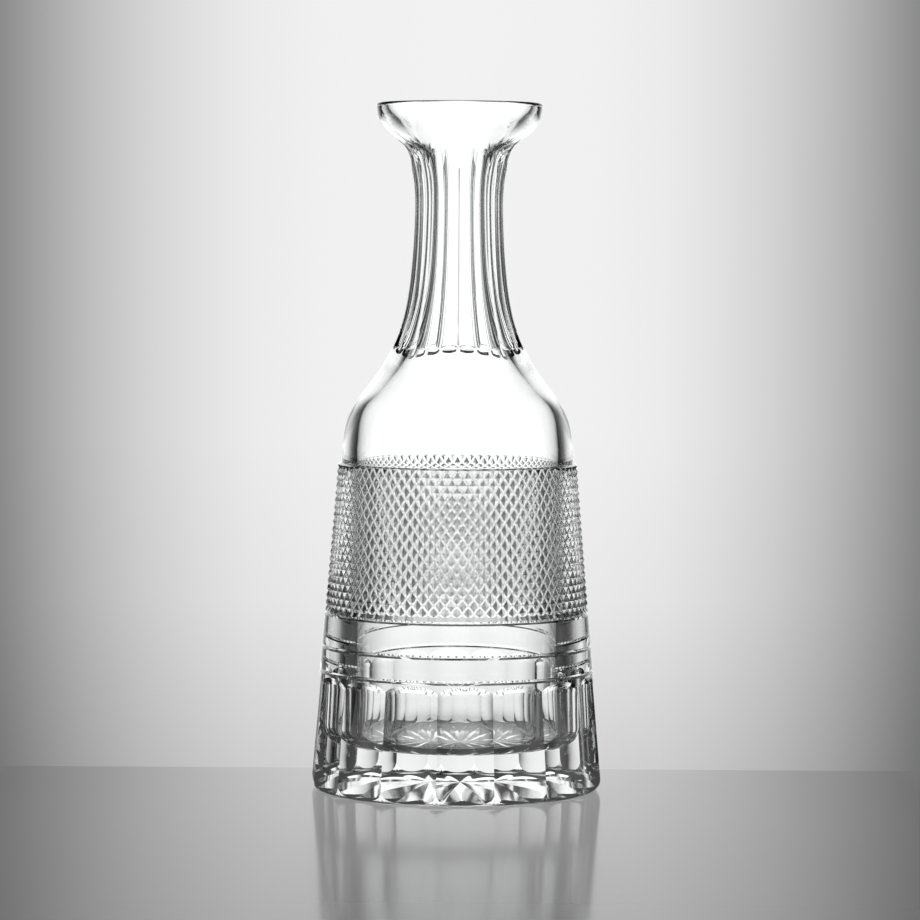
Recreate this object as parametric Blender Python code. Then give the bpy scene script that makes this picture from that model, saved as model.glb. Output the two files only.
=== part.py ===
"""Cut crystal decanter: one blown wall of glass, open at the mouth, with its decoration ground in.

Units are metres, +Z up. The origin is the middle of the foot, on the surface that it stands on.

The glass is built the way it is made. A turned blank gives the outside, a second turned outline gives
the cavity, and the cutter's wheels then take glass away: long hollow flutes on the neck, four ring
grooves round the body, broad hollow flutes on the base and a star under the foot. The fine diamonds
between the first and second ring are left as the plain band that joins their tips.
"""

from math import atan2, cos, pi, sin, sqrt

import bmesh
import bpy
import numpy

MM = 0.001

# Overall size
HEIGHT = 280.0 * MM
FOOT_RADIUS = 59.6 * MM
BODY_TAPER = 0.083

# Lip, flat with a small round at each edge, and the rounded foot edge
LIP_RADIUS = 33.9 * MM
LIP_INSIDE = 30.0 * MM
LIP_ROUND = 1.1 * MM
FOOT_ROUND = 4.5 * MM
EDGE_STEPS = 3

# Turned outline of the blank from under the lip to the first ring: radius and height
NECK_OUTLINE = (
    (33.1 * MM, 274.6 * MM),
    (31.6 * MM, 271.0 * MM),
    (26.9 * MM, 266.4 * MM),
    (22.7 * MM, 263.0 * MM),
    (20.1 * MM, 257.5 * MM),
    (19.2 * MM, 248.0 * MM),
    (18.9 * MM, 233.0 * MM),
    (20.6 * MM, 206.0 * MM),
    (23.4 * MM, 190.0 * MM),
    (27.3 * MM, 179.7 * MM),
    (33.0 * MM, 169.8 * MM),
    (40.4 * MM, 160.0 * MM),
    (44.5 * MM, 153.2 * MM),
    (46.5 * MM, 146.0 * MM),
    (47.4 * MM, 135.0 * MM),
)

# Outline of the cavity from its wall to the lip: radius and height
CAVITY_OUTLINE = (
    (41.2 * MM, 138.0 * MM),
    (40.9 * MM, 143.0 * MM),
    (40.3 * MM, 148.5 * MM),
    (39.0 * MM, 153.0 * MM),
    (36.8 * MM, 157.0 * MM),
    (31.6 * MM, 163.3 * MM),
    (25.4 * MM, 171.0 * MM),
    (20.2 * MM, 179.0 * MM),
    (15.6 * MM, 189.5 * MM),
    (12.6 * MM, 200.0 * MM),
    (10.5 * MM, 212.0 * MM),
    (9.3 * MM, 232.0 * MM),
    (9.1 * MM, 245.0 * MM),
    (10.8 * MM, 256.0 * MM),
    (13.6 * MM, 260.9 * MM),
    (17.4 * MM, 265.0 * MM),
    (21.4 * MM, 268.2 * MM),
    (25.3 * MM, 271.2 * MM),
    (28.3 * MM, 274.6 * MM),
    (LIP_INSIDE, HEIGHT - LIP_ROUND),
)
CAVITY_FLOOR = 18.0 * MM
CAVITY_CORNER = 7.0 * MM

# Neck flutes: the line that the wheel follows along the middle of a flute
NECK_FLUTES = 18
NECK_WHEEL = 12.0 * MM
NECK_CUT = (
    (28.6 * MM, 267.0 * MM),
    (22.2 * MM, 262.6 * MM),
    (19.6 * MM, 257.0 * MM),
    (18.2 * MM, 250.0 * MM),
    (17.5 * MM, 233.0 * MM),
    (19.3 * MM, 206.0 * MM),
    (21.8 * MM, 192.0 * MM),
    (23.6 * MM, 185.6 * MM),
    (25.0 * MM, 182.2 * MM),
    (26.4 * MM, 179.8 * MM),
    (28.7 * MM, 177.8 * MM),
    (32.0 * MM, 175.4 * MM),
    (36.4 * MM, 172.4 * MM),
)
NECK_TURN = 10.0 * pi / 180
NECK_ARCH_SPAN = (248.0 * MM, 266.0 * MM)
NECK_END_SPAN = (170.0 * MM, 190.0 * MM)
NECK_SHARES = (*(step / 10 for step in range(1, 10)), 0.95)

# Ring grooves, by the height of their bottoms
RING_1 = 133.8 * MM
RING_2 = 72.5 * MM
RING_3 = 59.0 * MM
RING_4 = 49.0 * MM
RING_DEPTH = 0.9 * MM
RING_HALF_WIDTH = 0.9 * MM
DIAMOND_TIPS = 0.1 * MM

# Base flutes
BASE_FLUTES = 16
BASE_WHEEL = 60.0 * MM
BASE_DEPTH = 2.25 * MM
BASE_RUN_OUT = 4.0 * MM
BASE_TOP = 47.6 * MM
BASE_ARCH_SPAN = (BASE_TOP - BASE_RUN_OUT, BASE_TOP)
BASE_END_SPAN = (0.0, FOOT_ROUND)
BASE_SHARES = (0.12, 0.5, 0.9)
BASE_SILL = 0.4 * MM
BASE_TURN = -7.5 * pi / 180

# Star under the foot
STAR_RADIUS = 46.0 * MM
STAR_BORDER = 1.0 * MM
STAR_DEPTH = 3.2 * MM
STAR_SLOPE = 0.5
STAR_RINGS = (0.93, 0.74, 0.5, 0.26)
STANDING_RADIUS = FOOT_RADIUS - FOOT_ROUND

# Facets round the upper and the lower half: a whole number to each flute
UPPER_COLUMNS = NECK_FLUTES * 4
LOWER_COLUMNS = BASE_FLUTES * 4
WELD = 0.00001
BISECTIONS = 40


def smooth_line(points):
    """Radius as a function of height, on a natural cubic spline through the points."""
    radii, heights = numpy.array(points)[numpy.argsort([z for _, z in points])].T
    gaps = numpy.diff(heights)
    slopes = numpy.diff(radii) / gaps
    count = len(heights)
    system = numpy.eye(count)
    bends = numpy.zeros(count)
    for i in range(1, count - 1):
        system[i, i - 1:i + 2] = gaps[i - 1], 2 * (gaps[i - 1] + gaps[i]), gaps[i]
        bends[i] = 6 * (slopes[i] - slopes[i - 1])
    bends = numpy.linalg.solve(system, bends)

    def radius(height):
        i = int(numpy.clip(numpy.searchsorted(heights, height) - 1, 0, count - 2))
        low = (height - heights[i]) / gaps[i]
        high = 1 - low
        cubic = (high ** 3 - high) * bends[i] + (low ** 3 - low) * bends[i + 1]
        return float(high * radii[i] + low * radii[i + 1] + cubic * gaps[i] ** 2 / 6)

    return radius


def cone(height):
    """Radius of the straight body below the first ring."""
    return FOOT_RADIUS - BODY_TAPER * max(height - FOOT_ROUND, 0)


def foot_blank(height):
    """Radius of the blank at the base, with its rounded foot edge."""
    drop = max(FOOT_ROUND - height, 0)
    return cone(height) - FOOT_ROUND + sqrt(FOOT_ROUND ** 2 - min(drop, FOOT_ROUND) ** 2)


def base_cut(height):
    """Radius of the middle of a base flute, which runs out in an arc at its top."""
    rise = max(height - (BASE_TOP - BASE_RUN_OUT), 0) / BASE_RUN_OUT
    return cone(height) - BASE_DEPTH * (1 - rise ** 2)


def wheel_radius(floor, wheel, offset):
    """Radius of a hollow flute at an angle from its middle, where a round-edged wheel has passed."""
    centre = floor + wheel
    return centre * cos(offset) - sqrt(wheel ** 2 - (centre * sin(offset)) ** 2)


def flute_offset(angle, flutes, turn):
    """Angle from the middle of the nearest flute, where an edge between two flutes is at `turn`."""
    pitch = 2 * pi / flutes
    return (angle - turn) % pitch - pitch / 2


def crossing(gap, span):
    """Height in the span where the gap between blank and cut changes sign."""
    low, high = span
    low_positive = gap(low) > 0
    for _ in range(BISECTIONS):
        middle = (low + high) / 2
        if (gap(middle) > 0) == low_positive:
            low = middle
        else:
            high = middle
    return (low + high) / 2


def ring(radius, height):
    """A row of the surface that is a plain circle."""
    return lambda angle: (angle, radius, height)


def fluted_rows(blank, floor, wheel, flutes, turn, top_span, end_span, shares):
    """Rows down the flutes: their arches, a row at each share of their length, and their run-outs."""

    def row(share):
        def place(angle):
            offset = flute_offset(angle, flutes, turn)

            def cut(height):
                return wheel_radius(floor(height), wheel, offset)

            def gap(height):
                return blank(height) - cut(height)

            top = crossing(gap, top_span)
            end = crossing(gap, end_span)
            height = top + (end - top) * share
            return angle, min(blank(height), cut(height)), height

        return place

    return [row(share) for share in (0.0, *shares, 1.0)]


def groove_rows(surface, height, upper_proud=0.0):
    """The two edges and the bottom of a V-shaped ring groove, top to bottom."""
    return [
        ring(surface(height) + upper_proud, height + RING_HALF_WIDTH),
        ring(surface(height) - RING_DEPTH, height),
        ring(surface(height), height - RING_HALF_WIDTH),
    ]


def star_row(share):
    """A row of the star: V cuts whose walls end on the flat of the foot or on the next cut's wall."""
    radius = STAR_RADIUS * share
    half_pitch = pi / BASE_FLUTES
    depth = STAR_DEPTH * (1 - share ** 3)
    reach = min(depth / (radius * STAR_SLOPE), half_pitch)

    def place(angle):
        offset = flute_offset(angle, BASE_FLUTES, BASE_TURN - half_pitch)
        ray = angle - offset
        if abs(offset) < half_pitch * 0.75:
            offset = 2 * offset / half_pitch * reach
        rise = max(depth - radius * abs(offset) * STAR_SLOPE, 0)
        return ray + offset, radius, rise

    return place


def cavity_rows():
    """The inside, from the edge of the flat floor up to the lip."""
    wall = CAVITY_OUTLINE[0][0]
    rows = []
    for step in range(EDGE_STEPS + 1):
        turn = pi / 2 * step / EDGE_STEPS
        radius = wall - CAVITY_CORNER * (1 - sin(turn))
        rows.append(ring(radius, CAVITY_FLOOR + CAVITY_CORNER * (1 - cos(turn))))
    rows += [ring(radius, height) for radius, height in CAVITY_OUTLINE]
    return rows


def lip_rows():
    """Over the flat lip and its two rounds, from its inside to its outside."""
    rows = []
    for middle, start in ((LIP_INSIDE + LIP_ROUND, pi), (LIP_RADIUS - LIP_ROUND, pi / 2)):
        for step in range(EDGE_STEPS + 1):
            turn = start - pi / 2 * step / EDGE_STEPS
            rows.append(ring(middle + LIP_ROUND * cos(turn), HEIGHT - LIP_ROUND + LIP_ROUND * sin(turn)))
    return rows[1:]


def upper_rows():
    """Every row of the inside, the lip, the neck and the shoulder, down to the first ring groove."""
    blank = smooth_line(NECK_OUTLINE)
    throat = [ring(*point) for point in NECK_OUTLINE if point[1] > NECK_ARCH_SPAN[1]]
    flutes = fluted_rows(blank, smooth_line(NECK_CUT), NECK_WHEEL, NECK_FLUTES, NECK_TURN,
                         NECK_ARCH_SPAN, NECK_END_SPAN, NECK_SHARES)
    shoulder = [ring(*point) for point in NECK_OUTLINE if point[1] < NECK_END_SPAN[0]]
    groove = [ring(blank(RING_1) - RING_DEPTH, RING_1)]
    return cavity_rows() + lip_rows() + throat + flutes + shoulder + groove


def lower_rows():
    """Every row of the body and the base, from the first ring down and in under the foot."""
    rows = [ring(cone(RING_1) + DIAMOND_TIPS, RING_1 - RING_HALF_WIDTH)]
    rows += groove_rows(cone, RING_2, DIAMOND_TIPS)
    rows += groove_rows(cone, RING_3)
    rows += groove_rows(cone, RING_4)[:2]
    rows.append(ring(cone(BASE_TOP), BASE_TOP + BASE_SILL))
    rows += fluted_rows(foot_blank, base_cut, BASE_WHEEL, BASE_FLUTES, BASE_TURN,
                        BASE_ARCH_SPAN, BASE_END_SPAN, BASE_SHARES)
    rows.append(ring(STANDING_RADIUS, 0.0))
    rows.append(ring(STAR_RADIUS + STAR_BORDER, 0.0))
    rows += [star_row(share) for share in STAR_RINGS]
    rows.append(ring(0.0, STAR_DEPTH))
    return rows


def loft(mesh, columns, turn, rows):
    """Extrude a circle from row to row and return the first and the last loop of edges."""
    column = mesh.verts.layers.float["column"]
    verts = bmesh.ops.create_circle(mesh, segments=columns, radius=1.0)["verts"]
    for vert in verts:
        vert[column] = atan2(vert.co.y, vert.co.x) + turn
    edges = list({edge for vert in verts for edge in vert.link_edges})
    first = edges
    for index, row in enumerate(rows):
        if index:
            grown = bmesh.ops.extrude_edge_only(mesh, edges=edges)["geom"]
            verts = [item for item in grown if isinstance(item, bmesh.types.BMVert)]
            edges = [item for item in grown if isinstance(item, bmesh.types.BMEdge)]
        for vert in verts:
            angle, radius, height = row(vert[column])
            vert.co = (radius * cos(angle), radius * sin(angle), height)
    return first, edges


def glass_material():
    """Clear lead crystal, polished all over."""
    material = bpy.data.materials.new("lead_crystal")
    material.use_nodes = True
    shader = material.node_tree.nodes["Principled BSDF"]
    shader.inputs["Base Color"].default_value = (0.93, 0.94, 0.94, 1.0)
    shader.inputs["Roughness"].default_value = 0.02
    shader.inputs["Metallic"].default_value = 0.0
    shader.inputs["IOR"].default_value = 1.545
    shader.inputs["Transmission Weight"].default_value = 1.0
    return material


def decanter():
    """The whole decanter, which is one piece of glass."""
    mesh = bmesh.new()
    mesh.verts.layers.float.new("column")
    floor, upper_end = loft(mesh, UPPER_COLUMNS, 0.0, upper_rows())
    lower_start, _ = loft(mesh, LOWER_COLUMNS, BASE_TURN, lower_rows())
    bmesh.ops.bridge_loops(mesh, edges=upper_end + lower_start)
    bmesh.ops.edgeloop_fill(mesh, edges=floor)
    bmesh.ops.remove_doubles(mesh, verts=mesh.verts, dist=WELD)
    bmesh.ops.recalc_face_normals(mesh, faces=mesh.faces)
    data = bpy.data.meshes.new("decanter")
    mesh.to_mesh(data)
    mesh.free()
    data.shade_smooth()
    data.set_sharp_from_angle(angle=pi / 9)
    data.materials.append(glass_material())
    return bpy.data.objects.new("decanter", data)


def main():
    """Clear the scene and build the decanter in it."""
    for old in list(bpy.data.objects):
        bpy.data.objects.remove(old, do_unlink=True)
    bpy.context.scene.collection.objects.link(decanter())


main()
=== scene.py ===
"""Looks of the cut crystal decanter: the fine glass with every cut, on a glossy table in a light tent.

All lengths are metres in the row's frame: +Z up, the origin in the middle of the foot.
"""

import logging
from collections.abc import Callable, Sequence
from dataclasses import dataclass, field
from functools import cached_property, lru_cache
from math import asin, cos, pi, radians, sin, sqrt

import bmesh
import bpy
import numpy as np
from mathutils import Matrix, Vector


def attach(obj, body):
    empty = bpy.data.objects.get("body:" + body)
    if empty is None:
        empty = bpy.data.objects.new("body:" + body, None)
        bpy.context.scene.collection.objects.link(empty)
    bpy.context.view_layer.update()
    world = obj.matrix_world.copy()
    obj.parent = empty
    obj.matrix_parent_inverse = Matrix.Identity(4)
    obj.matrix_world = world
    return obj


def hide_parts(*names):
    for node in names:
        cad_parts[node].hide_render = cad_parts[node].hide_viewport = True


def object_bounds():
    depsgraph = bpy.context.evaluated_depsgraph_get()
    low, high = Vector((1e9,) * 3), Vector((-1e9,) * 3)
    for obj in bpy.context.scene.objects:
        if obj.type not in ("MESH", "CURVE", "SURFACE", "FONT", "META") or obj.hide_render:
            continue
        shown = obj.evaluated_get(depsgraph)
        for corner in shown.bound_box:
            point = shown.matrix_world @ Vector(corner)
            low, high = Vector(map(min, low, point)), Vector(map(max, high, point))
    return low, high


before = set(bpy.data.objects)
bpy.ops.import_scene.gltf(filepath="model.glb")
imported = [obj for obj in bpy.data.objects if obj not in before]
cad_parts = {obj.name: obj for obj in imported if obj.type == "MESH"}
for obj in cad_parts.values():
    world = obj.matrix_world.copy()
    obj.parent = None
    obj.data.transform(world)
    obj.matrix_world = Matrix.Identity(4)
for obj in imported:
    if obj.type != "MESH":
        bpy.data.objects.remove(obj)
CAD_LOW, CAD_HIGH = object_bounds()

MM = 0.001
log = logging.getLogger("decanter")

# The diamonds set the mesh: four columns to each of 72, which is also 16 to a neck flute and 18 to a
# base flute.
DIAMONDS_AROUND = 72
LINES_PER_DIAMOND = 4
COLUMNS = DIAMONDS_AROUND * LINES_PER_DIAMOND
COLUMN_ANGLE = 2 * pi / COLUMNS
WELD = 1e-6
SHARP_ANGLE = radians(7)
HALVINGS = 40
ANGLE_DECIMALS = 7

Place = tuple[float, float, float]
Row = Callable[[float], Place]
Edge = Callable[[float], float]
Surface = Callable[[float, float], float]


# ---------------------------------------------------------------- turned outlines and rows


class TurnedLine:
    """A smooth turned outline: radius as a natural cubic spline over height."""

    def __init__(self, points: Sequence[tuple[float, float]]) -> None:
        """Fit the spline.

        Args:
            points: radius and height of each point, in any order of height.
        """
        radii, heights = np.array(sorted(points, key=lambda point: point[1])).T
        gaps = np.diff(heights)
        slopes = np.diff(radii) / gaps
        system = np.eye(len(heights))
        bends = np.zeros(len(heights))
        for i in range(1, len(heights) - 1):
            system[i, i - 1:i + 2] = gaps[i - 1], 2 * (gaps[i - 1] + gaps[i]), gaps[i]
            bends[i] = 6 * (slopes[i] - slopes[i - 1])
        self.radii, self.heights, self.gaps = radii, heights, gaps
        self.bends = np.linalg.solve(system, bends)

    def radius(self, height: float) -> float:
        """Radius of the outline at a height.

        Args:
            height: where to read the outline.

        Returns:
            The radius.
        """
        last = len(self.heights) - 2
        i = min(max(int(np.searchsorted(self.heights, height)) - 1, 0), last)
        low = (height - self.heights[i]) / self.gaps[i]
        high = 1 - low
        cubic = (high ** 3 - high) * self.bends[i] + (low ** 3 - low) * self.bends[i + 1]
        straight = high * self.radii[i] + low * self.radii[i + 1]
        return float(straight + cubic * self.gaps[i] ** 2 / 6)


def ring(radius: float, height: float) -> Row:
    """A row of the glass that is a plain circle."""
    return lambda angle: (angle, radius, height)


def arc_rows(radius: float, height: float, bend: float, start: float, end: float, steps: int) -> list[Row]:
    """Rows round an arc that is turned about the axis.

    Args:
        radius: distance of the arc's centre from the axis.
        height: height of the arc's centre.
        bend: radius of the arc itself.
        start: first angle of the arc, from straight out, in radians.
        end: last angle of the arc.
        steps: number of facets along the arc.

    Returns:
        One row for each end of each facet.
    """
    turns = np.linspace(start, end, steps + 1)
    return [ring(radius + bend * cos(turn), height + bend * sin(turn)) for turn in turns]


def draped_rows(surface: Surface, top: Edge, end: Edge, shares: Sequence[float]) -> list[Row]:
    """Rows of a surface between two edges that may rise and fall round the glass.

    Args:
        surface: radius at an angle and a height.
        top: height of the upper edge at an angle.
        end: height of the lower edge at an angle.
        shares: where each row lies, from 0 at the upper edge to 1 at the lower one.

    Returns:
        One row for each share.
    """

    def row(share: float) -> Row:
        """The row at one share of the way down."""

        def place(angle: float) -> Place:
            """Place on the surface at an angle."""
            height = top(angle) + (end(angle) - top(angle)) * share
            return angle, surface(angle, height), height

        return place

    return [row(share) for share in shares]


def even_shares(steps: int, first: int = 0, last: int | None = None) -> list[float]:
    """Shares of an even division, from step `first` up to and including step `last`."""
    stop = steps if last is None else last
    return [step / steps for step in range(first, stop + 1)]


# ---------------------------------------------------------------- cuts


@dataclass(frozen=True)
class Flutes:
    """Hollow flutes side by side, cut down the glass by a wheel with a rounded rim."""

    count: int
    wheel: float
    blank: Callable[[float], float]
    floor: Callable[[float], float]
    arch_span: tuple[float, float]
    end_span: tuple[float, float]
    turn: float = 0.0

    def offset(self, angle: float) -> float:
        """Angle from the middle of the nearest flute, rounded so that every flute repeats the first."""
        pitch = 2 * pi / self.count
        return round(abs((angle - self.turn) % pitch - pitch / 2), ANGLE_DECIMALS)

    def cut(self, offset: float, height: float) -> float:
        """Radius that the wheel leaves at an angle from a flute's middle."""
        centre = self.floor(height) + self.wheel
        return centre * cos(offset) - sqrt(self.wheel ** 2 - (centre * sin(offset)) ** 2)

    def surface(self, angle: float, height: float) -> float:
        """Radius of the glass after the cut."""
        return min(self.blank(height), self.cut(self.offset(angle), height))

    def arch(self, angle: float) -> float:
        """Height of the upper edge of the cut."""
        return self.crossing(self.offset(angle), self.arch_span)

    def run_out(self, angle: float) -> float:
        """Height of the lower edge of the cut."""
        return self.crossing(self.offset(angle), self.end_span)

    @lru_cache(maxsize=None)
    def crossing(self, offset: float, span: tuple[float, float]) -> float:
        """Height at which the wheel's path meets the blank.

        Args:
            offset: angle from the flute's middle.
            span: heights between which the two meet once.

        Returns:
            The height, found by halving the span.
        """
        low, high = span
        cut_at_low = self.blank(low) > self.cut(offset, low)
        for _ in range(HALVINGS):
            middle = (low + high) / 2
            if (self.blank(middle) > self.cut(offset, middle)) == cut_at_low:
                low = middle
            else:
                high = middle
        return (low + high) / 2


@dataclass(frozen=True)
class RingGroove:
    """A narrow mitre groove round the glass, with a polished, slightly rounded bottom."""

    height: float
    depth: float = 0.8 * MM
    half_width: float = 0.85 * MM
    round_off: float = 0.18

    @property
    def top(self) -> float:
        """Height of the upper lip of the groove."""
        return self.height + self.half_width

    @property
    def end(self) -> float:
        """Height of the lower lip of the groove."""
        return self.height - self.half_width

    def rows(self, above: float, below: float) -> list[Row]:
        """Rows from lip to lip.

        Args:
            above: radius of the glass at the upper lip.
            below: radius of the glass at the lower lip.

        Returns:
            The two lips and a bottom rounded over a fifth of the width.
        """
        middle = (above + below) / 2
        shoulder = middle - self.depth * (1 - self.round_off)
        reach = self.half_width * self.round_off
        return [
            ring(above, self.top),
            ring(shoulder, self.height + reach),
            ring(middle - self.depth * (1 - self.round_off / 2), self.height),
            ring(shoulder, self.height - reach),
            ring(below, self.end),
        ]


@dataclass(frozen=True)
class DiamondBand:
    """Fine diamonds: two families of slanting mitre grooves that leave rows of pointed pyramids."""

    top: float
    end: float
    tips: Callable[[float], float]
    levels: int = 39
    depth: float = 1.05 * MM
    groove_share: float = 0.13
    groove_extra: float = 0.08

    def shift(self, line: int) -> float:
        """Place of a lattice line across a groove family, in groove spacings.

        Args:
            line: number of the line, four to a spacing: a groove's bottom, its wall's foot, a tip and
                the next wall's foot.

        Returns:
            The place, from the bottom of the first groove.
        """
        within = (0.0, self.groove_share, 0.5, 1 - self.groove_share)
        return line // LINES_PER_DIAMOND + within[line % LINES_PER_DIAMOND]

    def rows(self) -> list[Row]:
        """Rows of the band, where both groove families cross.

        Returns:
            The rows, from the top down.
        """

        def row(level: int) -> Row:
            """The row at one level of the lattice."""

            def place(angle: float) -> Place:
                """Place of a lattice point, sunk unless it is the tip of a diamond.

                Args:
                    angle: even angle of the mesh's column.

                Returns:
                    Angle, radius and height of the point.
                """
                column = round(angle / COLUMN_ANGLE)
                lines = (column + level, column - level)
                left, right = self.shift(lines[0]), self.shift(lines[1])
                across = (left + right) / 2
                down = (left - right) / 2 * LINES_PER_DIAMOND / self.levels
                height = self.top - (self.top - self.end) * min(max(down, 0.0), 1.0)
                in_groove = any(line % LINES_PER_DIAMOND != LINES_PER_DIAMOND // 2 for line in lines)
                at_bottom = any(line % LINES_PER_DIAMOND == 0 for line in lines)
                sunk = self.depth * in_groove * (1.0 + self.groove_extra * at_bottom)
                return across * LINES_PER_DIAMOND * COLUMN_ANGLE, self.tips(height) - sunk, height

            return place

        return [row(level) for level in range(self.levels + 1)]

    @staticmethod
    def along_first(column: int, level: int) -> bool:
        """True if the quad above and right of a lattice point is split along the first groove family."""
        return (column + level) % 2 == 0


@dataclass(frozen=True)
class FootStar:
    """A star of mitre cuts under the foot, from the middle out to the standing ring."""

    rays: int
    radius: float
    depth: float
    slope: float
    turn: float
    rings: int = 16
    columns_between: int = 3

    def rows(self) -> list[Row]:
        """Rows of the star, whose columns gather on the walls of the rays.

        Returns:
            The rows, from the tips of the rays in to the middle of the foot.
        """
        half_pitch = pi / self.rays
        columns = COLUMNS // self.rays // 2
        wall = columns - self.columns_between

        def row(share: float) -> Row:
            """The row at a share of the star's radius."""
            radius = self.radius * share
            depth = self.depth * (1 - share ** 3)
            reach = min(depth / (radius * self.slope), half_pitch)

            def place(angle: float) -> Place:
                """Place on the nearest ray, or on the flat between two rays.

                Args:
                    angle: even angle of the mesh's column.

                Returns:
                    Angle, radius and height of the point.
                """
                offset = (angle - self.turn + half_pitch) % (2 * half_pitch) - half_pitch
                ray = angle - offset
                step = abs(offset) / half_pitch * columns
                if step <= wall + 0.5:
                    moved = reach * step / wall
                else:
                    moved = reach + (half_pitch - reach) * (step - wall) / (columns - wall)
                moved = min(moved, half_pitch)
                rise = max(depth - radius * moved * self.slope, 0.0)
                return ray + (moved if offset > 0 else -moved), radius, rise

            return place

        shares = [1 - step / self.rings for step in range(self.rings)]
        return [row(share) for share in shares] + [ring(0.0, self.depth)]


# ---------------------------------------------------------------- the glass


@dataclass(frozen=True)
class Outside:
    """The turned and cut outside of the decanter, from the lip down and in under the foot."""

    height: float
    foot_radius: float = 59.6 * MM
    foot_round: float = 4.5 * MM
    taper: float = 0.083
    lip_radius: float = 33.9 * MM
    lip_inside: float = 30.0 * MM
    lip_round: float = 1.1 * MM
    corner_steps: int = 15
    lip_steps: int = 16
    flute_steps: int = 34
    flute_end_shares: tuple[float, ...] = (0.982, 0.991, 1.0)
    shoulder_steps: int = 26
    foot_steps: int = 16
    neck_outline: tuple[tuple[float, float], ...] = (
        (33.3 * MM, 275.0 * MM),
        (31.9 * MM, 271.4 * MM),
        (27.3 * MM, 266.6 * MM),
        (22.7 * MM, 263.0 * MM),
        (20.1 * MM, 257.5 * MM),
        (19.2 * MM, 248.0 * MM),
        (18.9 * MM, 233.0 * MM),
        (20.6 * MM, 206.0 * MM),
        (23.4 * MM, 190.0 * MM),
        (27.3 * MM, 179.7 * MM),
        (33.0 * MM, 169.8 * MM),
        (40.4 * MM, 160.0 * MM),
        (44.5 * MM, 153.2 * MM),
        (46.5 * MM, 146.0 * MM),
        (47.4 * MM, 135.0 * MM),
    )
    neck_floor: tuple[tuple[float, float], ...] = (
        (28.6 * MM, 267.0 * MM),
        (22.2 * MM, 262.6 * MM),
        (19.6 * MM, 257.0 * MM),
        (18.2 * MM, 250.0 * MM),
        (17.5 * MM, 233.0 * MM),
        (19.3 * MM, 206.0 * MM),
        (21.8 * MM, 192.0 * MM),
        (23.4 * MM, 186.4 * MM),
        (24.2 * MM, 183.8 * MM),
        (25.3 * MM, 181.4 * MM),
        (26.0 * MM, 180.6 * MM),
        (27.8 * MM, 179.8 * MM),
        (31.4 * MM, 178.4 * MM),
        (36.0 * MM, 176.6 * MM),
    )
    neck_flutes: int = 18
    neck_turn: float = radians(10)
    neck_wheel: float = 12.0 * MM
    # Heights between which the arches and the lower ends of the neck flutes are looked for.
    neck_arches: tuple[float, float] = (248.0 * MM, 266.0 * MM)
    neck_ends: tuple[float, float] = (170.0 * MM, 190.0 * MM)
    base_flutes: int = 16
    base_turn: float = radians(-7.5)
    base_wheel: float = 60.0 * MM
    base_depth: float = 2.25 * MM
    base_top: float = 47.6 * MM
    base_run_out: float = 4.0 * MM
    star_radius: float = 46.0 * MM
    star_depth: float = 3.2 * MM
    star_slope: float = 0.5
    # How far the two rows of the standing ring lie from its outer and its inner edge.
    standing_margins: tuple[float, float] = (3.0 * MM, 1.0 * MM)
    band_margin: float = 1.5 * MM
    rings: tuple[RingGroove, ...] = (
        RingGroove(133.8 * MM),
        RingGroove(72.5 * MM),
        RingGroove(59.0 * MM),
        RingGroove(49.0 * MM),
    )

    @cached_property
    def neck(self) -> TurnedLine:
        """Outline of the blank's neck and shoulder, up to the widest part of the lip."""
        widest = (self.lip_radius, self.height - self.lip_round)
        return TurnedLine((widest, *self.neck_outline))

    def cone(self, height: float) -> float:
        """Radius of the straight body."""
        return self.foot_radius - self.taper * max(height - self.foot_round, 0.0)

    def foot_blank(self, height: float) -> float:
        """Radius of the base before it is fluted, with its rounded foot edge."""
        drop = min(max(self.foot_round - height, 0.0), self.foot_round)
        return self.cone(height) - self.foot_round + sqrt(self.foot_round ** 2 - drop ** 2)

    def base_floor(self, height: float) -> float:
        """Radius of the middle of a base flute, which runs out in an arc at its top."""
        rise = max(height - (self.base_top - self.base_run_out), 0.0) / self.base_run_out
        return self.cone(height) - self.base_depth * (1 - rise ** 2)

    def neck_cut(self) -> Flutes:
        """The long flutes of the neck."""
        floor = TurnedLine(self.neck_floor)
        return Flutes(self.neck_flutes, self.neck_wheel, self.neck.radius, floor.radius, self.neck_arches,
                      self.neck_ends, self.neck_turn)

    def base_cut(self) -> Flutes:
        """The broad flutes of the base."""
        arches = (self.base_top - self.base_run_out, self.base_top)
        return Flutes(self.base_flutes, self.base_wheel, self.foot_blank, self.base_floor, arches,
                      (0.0, self.foot_round), self.base_turn)

    def lip_rows(self) -> list[Row]:
        """Rows over the flat lip and its two rounded corners.

        Returns:
            The rows, from the lip's inside to its widest part.
        """
        bend = self.lip_round
        height = self.height - bend
        inner = arc_rows(self.lip_inside + bend, height, bend, pi, pi / 2, self.corner_steps)
        return inner + arc_rows(self.lip_radius - bend, height, bend, pi / 2, 0.0, self.corner_steps)

    def neck_blank(self, angle: float, height: float) -> float:
        """Radius of the blank's neck and shoulder, which is the same at every angle."""
        return self.neck.radius(height)

    def neck_rows(self) -> list[Row]:
        """Rows down the fluted neck and over the shoulder, close together where the flutes step out.

        Returns:
            The rows, from under the lip to above the first ring.
        """
        cut = self.neck_cut()
        lip = self.height - self.lip_round
        first = self.rings[0]
        above = even_shares(self.lip_steps, 1, self.lip_steps - 1)
        along = [*even_shares(self.flute_steps, 0, self.flute_steps - 1), *self.flute_end_shares]
        below = even_shares(self.shoulder_steps, 1, self.shoulder_steps - 1)
        rows = draped_rows(self.neck_blank, lambda angle: lip, cut.arch, above)
        rows += draped_rows(cut.surface, cut.arch, cut.run_out, along)
        rows += draped_rows(self.neck_blank, cut.run_out, lambda angle: first.top, below)
        return rows

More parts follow.
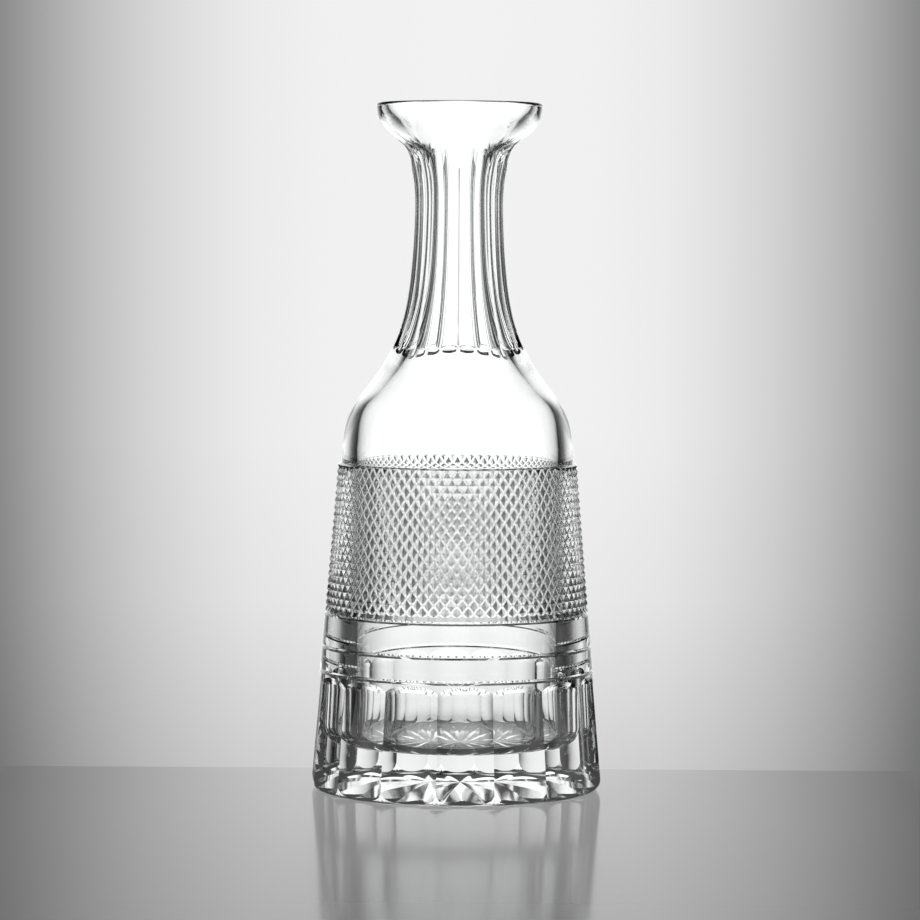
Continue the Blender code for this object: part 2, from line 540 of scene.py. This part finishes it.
    def body_rows(self) -> list[Row]:
        """Rows down the straight body, with its diamonds and its ring grooves.

        Returns:
            The rows, from the first ring to the tops of the base flutes.
        """
        first, second = self.rings[:2]
        diamonds = DiamondBand(first.end, second.top + self.band_margin, self.cone)
        rows = first.rows(self.neck.radius(first.top), self.cone(first.end))
        rows += diamonds.rows()
        for groove in self.rings[1:]:
            rows += groove.rows(self.cone(groove.top), self.cone(groove.end))
        return rows

    def base_rows(self) -> list[Row]:
        """Rows down the base flutes, close together at both ends, and round the foot edge.

        Returns:
            The rows, from the arches of the flutes to the standing ring.
        """
        cut = self.base_cut()
        shares = [0.0, 0.03, 0.06, 0.09, *even_shares(10, 1, 9), 0.93, 0.96, 0.98, 1.0]
        rows = draped_rows(cut.surface, cut.arch, cut.run_out, shares)
        return rows + [self.foot_row(cut, share) for share in even_shares(self.foot_steps, 1)]

    def foot_row(self, cut: Flutes, share: float) -> Row:
        """A row round the foot edge.

        Args:
            cut: the base flutes, whose lower ends the first row follows.
            share: where the row lies, from 0 at those ends to 1 on the standing ring.

        Returns:
            The row.
        """

        def place(angle: float) -> Place:
            """Place on the rounded edge at an angle."""
            start = asin(1 - cut.run_out(angle) / self.foot_round)
            turn = start + (pi / 2 - start) * share
            height = self.foot_round * (1 - sin(turn))
            return angle, self.foot_blank(height), height

        return place

    def under_rows(self) -> list[Row]:
        """Rows across the flat standing ring and the star.

        Returns:
            The rows, from the foot edge in to the middle.
        """
        outer, inner = self.standing_margins
        flat = [
            ring(self.foot_radius - self.foot_round - outer, 0.0),
            ring(self.star_radius + inner, 0.0),
        ]
        star = FootStar(self.base_flutes, self.star_radius, self.star_depth, self.star_slope,
                        self.base_turn)
        return flat + star.rows()

    def rows(self) -> list[Row]:
        """Every row of the outside."""
        return self.lip_rows() + self.neck_rows() + self.body_rows() + self.base_rows() + self.under_rows()


@dataclass(frozen=True)
class Inside:
    """The blown cavity: a flat floor, a straight wall, a domed shoulder, a bore and a funnel mouth."""

    floor: float = 18.0 * MM
    corner: float = 7.0 * MM
    outline: tuple[tuple[float, float], ...] = (
        (41.2 * MM, 138.0 * MM),
        (40.9 * MM, 143.0 * MM),
        (40.3 * MM, 148.5 * MM),
        (39.0 * MM, 153.0 * MM),
        (36.8 * MM, 157.0 * MM),
        (31.6 * MM, 163.3 * MM),
        (25.4 * MM, 171.0 * MM),
        (20.2 * MM, 179.0 * MM),
        (15.6 * MM, 189.5 * MM),
        (12.6 * MM, 200.0 * MM),
        (10.5 * MM, 212.0 * MM),
        (9.3 * MM, 232.0 * MM),
        (9.1 * MM, 245.0 * MM),
        (10.8 * MM, 256.0 * MM),
        (13.6 * MM, 260.9 * MM),
        (17.4 * MM, 265.0 * MM),
        (21.4 * MM, 268.2 * MM),
        (25.3 * MM, 271.2 * MM),
        (28.3 * MM, 274.6 * MM),
        (30.0 * MM, 278.9 * MM),
    )
    floor_steps: int = 6
    corner_steps: int = 18
    steps: int = 106
    samples: int = 40

    def rows(self) -> list[Row]:
        """Rows of the cavity, an even distance apart along its wall.

        Returns:
            The rows, from the middle of the floor up to the lip.
        """
        wall, low = self.outline[0]
        high = self.outline[-1][1]
        line = TurnedLine(self.outline)
        flat = wall - self.corner
        shares = even_shares(self.floor_steps, 0, self.floor_steps - 1)
        rows = [ring(flat * share, self.floor) for share in shares]
        rows += arc_rows(flat, self.floor + self.corner, self.corner, -pi / 2, 0.0, self.corner_steps)
        heights = np.linspace(low, high, self.samples * self.steps)
        radii = np.array([line.radius(height) for height in heights])
        lengths = np.append(0.0, np.cumsum(np.hypot(np.diff(radii), np.diff(heights))))
        for length in np.linspace(0.0, lengths[-1], self.steps)[:-1]:
            height = float(np.interp(length, lengths, heights))
            rows.append(ring(line.radius(height), height))
        return rows


@dataclass(frozen=True)
class Decanter:
    """The whole decanter: one closed body of glass, from the cavity over the lip to the star."""

    outside: Outside
    inside: Inside = field(default_factory=Inside)

    def loft(self, mesh: bmesh.types.BMesh, rows: Sequence[Row]) -> None:
        """Extrude a circle from row to row.

        Args:
            mesh: where the surface is made; its vertices get their column and level as layers.
            rows: the rows, in order along the surface.
        """
        column = mesh.verts.layers.int.new("column")
        level = mesh.verts.layers.int.new("level")
        verts = bmesh.ops.create_circle(mesh, segments=COLUMNS, radius=1.0)["verts"]
        for index, vert in enumerate(verts):
            vert[column] = index
        edges = list(mesh.edges)
        for index, row in enumerate(rows):
            if index:
                grown = bmesh.ops.extrude_edge_only(mesh, edges=edges)["geom"]
                verts = [item for item in grown if isinstance(item, bmesh.types.BMVert)]
                edges = [item for item in grown if isinstance(item, bmesh.types.BMEdge)]
            for vert in verts:
                vert[level] = index
                angle, radius, height = row(2 * pi * vert[column] / COLUMNS)
                vert.co = (radius * cos(angle), radius * sin(angle), height)

    def split_diamonds(self, mesh: bmesh.types.BMesh, first: int, last: int) -> None:
        """Split the band's quads along the grooves, so that every side of a diamond is flat.

        Args:
            mesh: the lofted glass.
            first: level of the band's upper row.
            last: level of the band's lower row.
        """
        column = mesh.verts.layers.int["column"]
        level = mesh.verts.layers.int["level"]
        for face in list(mesh.faces):
            levels = [vert[level] for vert in face.verts]
            if min(levels) < first or max(levels) > last:
                continue
            columns = [vert[column] for vert in face.verts]
            left = max(columns) if max(columns) - min(columns) > 1 else min(columns)
            same = DiamondBand.along_first(left, min(levels) - first)
            pair = [vert for vert in face.verts
                    if ((vert[column] == left) == (vert[level] == min(levels))) != same]
            bmesh.utils.face_split(face, pair[0], pair[1])

    def shade(self, data: bpy.types.Mesh, inner_rows: int) -> None:
        """Shade the glass smooth, with crisp edges at the cuts and none inside the blown cavity.

        Args:
            data: the mesh.
            inner_rows: number of rows in the cavity.
        """
        data.shade_smooth()
        data.set_sharp_from_angle(angle=SHARP_ANGLE)
        levels = data.attributes["level"].data
        sharp = data.attributes["sharp_edge"].data
        for edge in data.edges:
            if max(levels[index].value for index in edge.vertices) < inner_rows:
                sharp[edge.index].value = False

    def build(self) -> bpy.types.Object:
        """Make the glass as one closed mesh.

        Returns:
            The new object, at the origin, with smooth surfaces and crisp cuts.
        """
        mesh = bmesh.new()
        inner = self.inside.rows()
        self.loft(mesh, inner + self.outside.rows())
        lip_and_neck = self.outside.lip_rows() + self.outside.neck_rows()
        groove = len(self.outside.rings[0].rows(1.0, 1.0))
        first = len(inner) + len(lip_and_neck) + groove
        self.split_diamonds(mesh, first, first + DiamondBand.levels)
        bmesh.ops.remove_doubles(mesh, verts=mesh.verts, dist=WELD)
        bmesh.ops.recalc_face_normals(mesh, faces=mesh.faces)
        data = bpy.data.meshes.new("cut_glass")
        mesh.to_mesh(data)
        mesh.free()
        self.shade(data, len(inner))
        glass = bpy.data.objects.new("cut_glass", data)
        bpy.context.scene.collection.objects.link(glass)
        return glass


# ---------------------------------------------------------------- finishes


def linear(hex_colour: str) -> tuple[float, float, float, float]:
    """Turn an sRGB hex colour into a linear one.

    Args:
        hex_colour: the colour, such as #fdfefe.

    Returns:
        Linear red, green, blue and an alpha of 1.
    """
    channels = [int(hex_colour[i:i + 2], 16) / 255 for i in (1, 3, 5)]
    return (*[c / 12.92 if c <= 0.04045 else ((c + 0.055) / 1.055) ** 2.4 for c in channels], 1.0)


def add_node(tree: bpy.types.NodeTree, kind: str, settings: dict | None = None, inputs: dict | None = None,
             stops: Sequence[tuple[float, float]] = ()) -> bpy.types.Node:
    """Add a node with its settings, its inputs and, on a colour ramp, its grey stops.

    Args:
        tree: the node tree.
        kind: the node's type name.
        settings: attributes of the node.
        inputs: value, or output socket to link, for each input name or number.
        stops: place and linear brightness of each stop.

    Returns:
        The node.
    """
    node = tree.nodes.new(kind)
    for name, value in (settings or {}).items():
        setattr(node, name, value)
    for name, value in (inputs or {}).items():
        if isinstance(value, bpy.types.NodeSocket):
            tree.links.new(value, node.inputs[name])
        else:
            node.inputs[name].default_value = value
    if stops:
        elements = node.color_ramp.elements
        elements.remove(elements[-1])
        for index, (place, level) in enumerate(stops):
            element = elements[0] if index == 0 else elements.new(place)
            element.position = place
            element.color = (level, level, level, 1.0)
    return node


@dataclass(frozen=True)
class LeadCrystal:
    """Full lead crystal, blown, wheel-cut and acid-polished.

    The lead gives a high index, which fills the colourless glass with hard black and white edges. The
    polish leaves the blown wall and the broad cuts clear. The fine diamonds and the star stay a little
    silky, which keeps their sparkle soft.
    """

    name: str = "polished_lead_crystal"
    colour: str = "#fdfefe"
    index: float = 1.545
    cut_roughness: float = 0.12
    band_radius: float = 44.0 * MM
    band_height: float = 103.0 * MM
    band_reach: float = 29.8 * MM
    star_height: float = 4.0 * MM
    star_radius: float = 46.5 * MM

    def material(self) -> bpy.types.Material:
        """Make the material.

        Returns:
            Clear glass that is silky on the diamond band and on the star.
        """
        material = bpy.data.materials.new(self.name)
        material.use_nodes = True
        tree = material.node_tree
        shader = tree.nodes["Principled BSDF"]
        shader.inputs["Base Color"].default_value = linear(self.colour)
        shader.inputs["IOR"].default_value = self.index
        shader.inputs["Transmission Weight"].default_value = 1.0
        place = add_node(tree, "ShaderNodeTexCoord")
        flat = add_node(tree, "ShaderNodeVectorMath", {"operation": "MULTIPLY"},
                        {0: place.outputs["Object"], 1: (1.0, 1.0, 0.0)})
        radius = add_node(tree, "ShaderNodeVectorMath", {"operation": "LENGTH"}, {0: flat.outputs[0]})
        parts = add_node(tree, "ShaderNodeSeparateXYZ", inputs={"Vector": place.outputs["Object"]})
        outside = add_node(tree, "ShaderNodeMath", {"operation": "GREATER_THAN"},
                           {0: radius.outputs["Value"], 1: self.band_radius})
        level = add_node(tree, "ShaderNodeMath", {"operation": "COMPARE"},
                         {0: parts.outputs["Z"], 1: self.band_height, 2: self.band_reach})
        band = add_node(tree, "ShaderNodeMath", {"operation": "MULTIPLY"},
                        {0: outside.outputs[0], 1: level.outputs[0]})
        low = add_node(tree, "ShaderNodeMath", {"operation": "LESS_THAN"},
                       {0: parts.outputs["Z"], 1: self.star_height})
        inner = add_node(tree, "ShaderNodeMath", {"operation": "LESS_THAN"},
                         {0: radius.outputs["Value"], 1: self.star_radius})
        star = add_node(tree, "ShaderNodeMath", {"operation": "MULTIPLY"},
                        {0: low.outputs[0], 1: inner.outputs[0]})
        silky = add_node(tree, "ShaderNodeMath", {"operation": "MAXIMUM"},
                         {0: band.outputs[0], 1: star.outputs[0]})
        rough = add_node(tree, "ShaderNodeMath", {"operation": "MULTIPLY"},
                         {0: silky.outputs[0], 1: self.cut_roughness})
        tree.links.new(rough.outputs[0], shader.inputs["Roughness"])
        return material


@dataclass(frozen=True)
class OpalSheet:
    """Opal acrylic sheet, cast and gloss-polished, with a painted glow instead of a lamp under it.

    The polish mirrors what stands on it, and the painted glow, a pool of light with darker bands, veils
    that mirror image.
    """

    edge: float
    name: str = "opal_acrylic_sheet_painted_glow"
    colour: str = "#818180"
    roughness: float = 0.12
    index: float = 1.49
    # Share of the painted glow in the sheet's finish.
    glow: float = 0.5
    near_painted_glow: float = 0.16
    near: tuple[float, float] = (0.25, 0.5)
    reach: float = 0.6
    # Painted pool of light across the sheet, with painted darker bands to each side.
    across: tuple[tuple[float, float], ...] = (
        (0.0, 0.58), (0.108, 0.555), (0.177, 0.41), (0.245, 0.25), (0.312, 0.145), (0.35, 0.17), (0.5, 0.5),
        (1.0, 0.55))
    # Painted dip in the glow partway towards the front.
    front: float = -1.0
    along: tuple[tuple[float, float], ...] = ((0.0, 1.0), (0.35, 1.0), (0.6, 0.5), (1.0, 1.0))

    def material(self) -> bpy.types.Material:
        """Make the material.

        Returns:
            Half gloss and half painted glow. The glow is a painted pool of light round the decanter, with
            painted darker bands to the sides and a painted dip partway towards the front, and it is weaker
            for what the glass picks up close to the foot.
        """
        material = bpy.data.materials.new(self.name)
        material.use_nodes = True
        tree = material.node_tree
        shader = tree.nodes["Principled BSDF"]
        shader.inputs["Base Color"].default_value = linear(self.colour)
        shader.inputs["Roughness"].default_value = self.roughness
        shader.inputs["IOR"].default_value = self.index
        place = add_node(tree, "ShaderNodeTexCoord")
        parts = add_node(tree, "ShaderNodeSeparateXYZ", inputs={"Vector": place.outputs["Object"]})
        side = add_node(tree, "ShaderNodeMath", {"operation": "ABSOLUTE"}, {0: parts.outputs["X"]})
        # Painted pool of light: brightest round the decanter, with painted darker bands to the sides.
        across = add_node(tree, "ShaderNodeMapRange", inputs={"Value": side.outputs[0], "From Min": 0.0,
                                                              "From Max": self.reach})
        pool = add_node(tree, "ShaderNodeValToRGB", inputs={"Fac": across.outputs["Result"]},
                        stops=self.across)
        # Painted dip in the glow partway towards the front.
        along = add_node(tree, "ShaderNodeMapRange", inputs={"Value": parts.outputs["Y"],
                                                             "From Min": self.front,
                                                             "From Max": self.edge})
        fall = add_node(tree, "ShaderNodeValToRGB", inputs={"Fac": along.outputs["Result"]},
                        stops=self.along)
        # The glass picks up less of the painted glow close to the foot than the camera sees.
        path = add_node(tree, "ShaderNodeLightPath")
        distance = add_node(tree, "ShaderNodeVectorMath", {"operation": "LENGTH"},
                            {0: place.outputs["Object"]})
        far = add_node(tree, "ShaderNodeMapRange",
                       inputs={"Value": distance.outputs["Value"], "From Min": self.near[0],
                               "From Max": self.near[1], "To Min": self.near_painted_glow, "To Max": 1.0})
        picked_up = add_node(tree, "ShaderNodeMix", inputs={"Factor": path.outputs["Is Camera Ray"],
                                                            "A": far.outputs["Result"], "B": 1.0})
        strength = add_node(tree, "ShaderNodeMath", {"operation": "MULTIPLY"},
                            {0: fall.outputs["Color"], 1: picked_up.outputs[0]})
        glow = add_node(tree, "ShaderNodeEmission", inputs={"Color": pool.outputs["Color"],
                                                            "Strength": strength.outputs[0]})
        sheet = add_node(tree, "ShaderNodeMixShader", inputs={0: self.glow, 1: shader.outputs[0],
                                                              2: glow.outputs[0]})
        tree.links.new(sheet.outputs[0], tree.nodes["Material Output"].inputs["Surface"])
        return material


@dataclass(frozen=True)
class LitScreen:
    """A diffusion screen lit from behind, white in its middle and dark at its sides.

    The dark sides are what draws the black edges of the glass. The screen shows from its front only.
    """

    name: str = "lit_screen"
    reach: float = 0.5
    across: tuple[tuple[float, str], ...] = (
        (0.0, "#f2f2f2"), (0.138, "#f0f0f0"), (0.20, "#ebebeb"), (0.25, "#e1e1e1"), (0.305, "#d2d2d2"),
        (0.36, "#bcbcbc"), (0.425, "#979797"), (0.5, "#5c5c5c"), (0.59, "#303030"), (0.7, "#202020"),
        (1.0, "#181818"))
    lowest: float = -0.2
    highest: float = 0.8
    upward: tuple[tuple[float, float], ...] = (
        (0.0, 0.50), (0.17, 0.74), (0.25, 0.93), (0.33, 1.0), (0.57, 1.0), (0.66, 0.45), (0.75, 0.12),
        (1.0, 0.05))
    lift_heights: tuple[float, float] = (0.02, 0.12)
    lift: tuple[float, float] = (1.5, 1.6)

    def material(self) -> bpy.types.Material:
        """Make the material.

        Returns:
            A glow that falls off to the sides, up and down, and is stronger through the glass.
        """
        material = bpy.data.materials.new(self.name)
        material.use_nodes = True
        tree = material.node_tree
        tree.nodes.clear()
        place = add_node(tree, "ShaderNodeTexCoord")
        parts = add_node(tree, "ShaderNodeSeparateXYZ", inputs={"Vector": place.outputs["Object"]})
        side = add_node(tree, "ShaderNodeMath", {"operation": "ABSOLUTE"}, {0: parts.outputs["X"]})
        across = add_node(tree, "ShaderNodeMapRange", inputs={"Value": side.outputs[0], "From Min": 0.0,
                                                              "From Max": self.reach})
        tone = add_node(tree, "ShaderNodeValToRGB", inputs={"Fac": across.outputs["Result"]},
                        stops=[(share, linear(grey)[0]) for share, grey in self.across])
        upward = add_node(tree, "ShaderNodeMapRange", inputs={"Value": parts.outputs["Z"],
                                                              "From Min": self.lowest,
                                                              "From Max": self.highest})
        fall = add_node(tree, "ShaderNodeValToRGB", inputs={"Fac": upward.outputs["Result"]},
                        stops=self.upward)
        path = add_node(tree, "ShaderNodeLightPath")
        lift = add_node(tree, "ShaderNodeMapRange",
                        inputs={"Value": parts.outputs["Z"], "From Min": self.lift_heights[0],
                                "From Max": self.lift_heights[1], "To Min": self.lift[0],
                                "To Max": self.lift[1]})
        through = add_node(tree, "ShaderNodeMix", inputs={"Factor": path.outputs["Is Camera Ray"],
                                                          "A": lift.outputs["Result"], "B": 1.0})
        strength = add_node(tree, "ShaderNodeMath", {"operation": "MULTIPLY"},
                            {0: fall.outputs["Color"], 1: through.outputs[0]})
        glow = add_node(tree, "ShaderNodeEmission", inputs={"Color": tone.outputs["Color"],
                                                            "Strength": strength.outputs[0]})
        clear = add_node(tree, "ShaderNodeBsdfTransparent")
        facing = add_node(tree, "ShaderNodeNewGeometry")
        one_sided = add_node(tree, "ShaderNodeMixShader", inputs={0: facing.outputs["Backfacing"],
                                                                  1: glow.outputs[0], 2: clear.outputs[0]})
        add_node(tree, "ShaderNodeOutputMaterial", inputs={"Surface": one_sided.outputs[0]})
        return material


# ---------------------------------------------------------------- stage


@dataclass(frozen=True)
class Studio:
    """Glossy table, lit screen, light tent and camera."""

    table_edge: float = 0.058
    table_size: tuple[float, float, float] = (4.0, 2.0, 0.02)
    screen_distance: float = 0.30
    screen_size: tuple[float, float] = (1.5, 4.0)
    screen_middle: float = 0.5
    tent_panels: int = 8
    tent_dark: float = 0.05
    tent_bright: float = 0.8
    tent_edge: float = 0.4
    lens: float = 155.4
    sensor: float = 36.0
    eye: tuple[float, float, float] = (0.0, -1.62, 0.226)
    aim: tuple[float, float, float] = (0.001, 0.0, 0.1346)
    roll: float = radians(0.35)
    far_clip: float = 50.0
    bounces: int = 32

    def stand(self, mesh: bmesh.types.BMesh, name: str, material: bpy.types.Material) -> bpy.types.Object:
        """Make an object of a finished mesh.

        Args:
            mesh: the mesh, which is freed.
            name: name of the new object and its mesh.
            material: what it is made of.

        Returns:
            The new object.
        """
        data = bpy.data.meshes.new(name)
        mesh.to_mesh(data)
        mesh.free()
        data.materials.append(material)
        thing = bpy.data.objects.new(name, data)
        bpy.context.scene.collection.objects.link(thing)
        return thing

    def table(self) -> None:
        """A glossy pale sheet that ends just behind the decanter."""
        _, depth, thickness = self.table_size
        mesh = bmesh.new()
        bmesh.ops.create_cube(mesh, size=1.0)
        bmesh.ops.scale(mesh, verts=mesh.verts, vec=self.table_size)
        bmesh.ops.translate(mesh, verts=mesh.verts, vec=(0.0, self.table_edge - depth / 2, -thickness / 2))
        # The table glows with a painted pool of light, not a lamp.
        table = self.stand(mesh, "table", OpalSheet(self.table_edge).material())

    def backdrop(self) -> None:
        """A lit screen behind the decanter, facing the front."""
        width, height = self.screen_size
        mesh = bmesh.new()
        bmesh.ops.create_grid(mesh, x_segments=1, y_segments=1, size=0.5)
        bmesh.ops.scale(mesh, verts=mesh.verts, vec=(width, height, 1.0))
        bmesh.ops.rotate(mesh, verts=mesh.verts, cent=(0, 0, 0), matrix=Matrix.Rotation(pi / 2, 3, "X"))
        bmesh.ops.translate(mesh, verts=mesh.verts, vec=(0.0, self.screen_distance, self.screen_middle))
        screen = self.stand(mesh, "screen", LitScreen().material())

    def tent(self) -> None:
        """A light tent all round, with a soft dark strip between every two of its panels."""
        world = bpy.data.worlds.new("studio")
        bpy.context.scene.world = world
        world.use_nodes = True
        tree = world.node_tree
        place = add_node(tree, "ShaderNodeTexCoord")
        parts = add_node(tree, "ShaderNodeSeparateXYZ", inputs={"Vector": place.outputs["Generated"]})
        turn = add_node(tree, "ShaderNodeMath", {"operation": "ARCTAN2"},
                        {0: parts.outputs["Y"], 1: parts.outputs["X"]})
        panels = add_node(tree, "ShaderNodeMath", {"operation": "MULTIPLY"},
                          {0: turn.outputs[0], 1: self.tent_panels})
        wave = add_node(tree, "ShaderNodeMath", {"operation": "COSINE"}, {0: panels.outputs[0]})
        level = add_node(tree, "ShaderNodeMapRange", {"interpolation_type": "SMOOTHSTEP"},
                         {"Value": wave.outputs[0], "From Min": -1.0, "From Max": self.tent_edge,
                          "To Min": self.tent_dark, "To Max": self.tent_bright})
        tree.links.new(level.outputs["Result"], tree.nodes["Background"].inputs["Color"])

    def camera(self) -> None:
        """A long lens at the height of the decanter's neck, looking slightly down."""
        data = bpy.data.cameras.new("camera")
        data.lens = self.lens
        data.sensor_width = self.sensor
        data.clip_end = self.far_clip
        camera = bpy.data.objects.new("camera", data)
        bpy.context.scene.collection.objects.link(camera)
        eye = Vector(self.eye)
        look = (Vector(self.aim) - eye).to_track_quat("-Z", "Y").to_matrix()
        roll = Matrix.Rotation(self.roll, 3, "Z")
        camera.matrix_world = Matrix.Translation(eye) @ (look @ roll).to_4x4()
        bpy.context.scene.camera = camera

    def build(self) -> None:
        """Set up the whole stage, with enough light bounces for cut glass."""
        self.table()
        self.backdrop()
        self.tent()
        self.camera()
        scene = bpy.context.scene
        scene.view_settings.view_transform = "Standard"
        scene.cycles.max_bounces = self.bounces
        scene.cycles.transmission_bounces = self.bounces


def main() -> None:
    """Build the decanter and its stage."""
    logging.basicConfig(level=logging.INFO, format="%(name)s: %(message)s")
    decanter = Decanter(Outside(CAD_HIGH.z - CAD_LOW.z))
    glass = decanter.build()
    glass.data.materials.append(LeadCrystal().material())
    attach(glass, "root")
    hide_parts("decanter")
    log.info("%s: %d faces", glass.name, len(glass.data.polygons))
    Studio().build()


if __name__ == "__main__":
    main()
